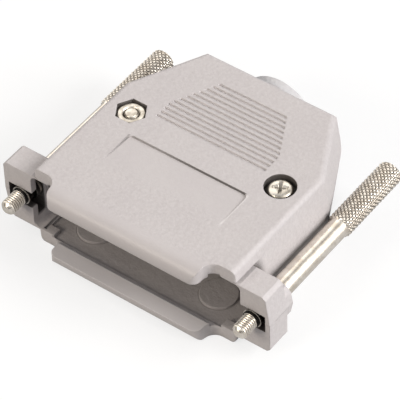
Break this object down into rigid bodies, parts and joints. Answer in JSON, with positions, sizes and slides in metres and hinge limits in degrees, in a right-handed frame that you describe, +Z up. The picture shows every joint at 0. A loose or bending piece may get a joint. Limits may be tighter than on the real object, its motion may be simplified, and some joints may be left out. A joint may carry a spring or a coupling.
{
  "type": "connector hood",
  "caption": "Two-piece plastic hood for a 25-way trapezoidal cable connector, with rolled lips, long knurled thumbscrews and a straight cable exit.",
  "frame": {"origin": "centre of the hood's flat underside, midway between the two case screws", "axes": "+X across the connector, +Y towards the cable exit, +Z up from the resting face"},
  "size_m": [0.0538, 0.045, 0.017],
  "materials": {
    "hood_plastic": "fine spark-eroded texture, light warm grey",
    "thumbscrew_nickel": "bright nickel plate, knurled grip",
    "ring_steel": "plain steel",
    "fastener_zinc": "bright zinc plate",
    "strap_steel": "pressed and plated steel"
  },
  "bodies": {
    "hood": {"shell_upper": "hood_plastic", "shell_lower": "hood_plastic", "case_screw_left": "fastener_zinc", "case_screw_right": "fastener_zinc", "case_nut_left": "fastener_zinc", "case_nut_right": "fastener_zinc", "clamp_strap_upper": "strap_steel", "clamp_strap_lower": "strap_steel", "clamp_screw_left": "fastener_zinc", "clamp_screw_right": "fastener_zinc", "clamp_nut_left": "fastener_zinc", "clamp_nut_right": "fastener_zinc"},
    "ring_left": {"retaining_ring_left": "ring_steel"},
    "thumbscrew_left": {"thumbscrew_left": "thumbscrew_nickel"},
    "ring_right": {"retaining_ring_right": "ring_steel"},
    "thumbscrew_right": {"thumbscrew_right": "thumbscrew_nickel"}
  },
  "joints": [
    {"name": "thumbscrew_left_slide", "type": "slide", "parent": "hood", "child": "ring_left", "axis": [0, -1, 0], "range_m": [-0.0006, 0.0005]},
    {"name": "thumbscrew_left_turn", "type": "hinge", "parent": "ring_left", "child": "thumbscrew_left", "pos_m": [-0.02352, -0.0196, 0.0085], "axis": [0, -1, 0], "continuous": true},
    {"name": "thumbscrew_right_slide", "type": "slide", "parent": "hood", "child": "ring_right", "axis": [0, -1, 0], "range_m": [-0.0006, 0.0005]},
    {"name": "thumbscrew_right_turn", "type": "hinge", "parent": "ring_right", "child": "thumbscrew_right", "pos_m": [0.02352, -0.0196, 0.0085], "axis": [0, -1, 0], "continuous": true}
  ]
}
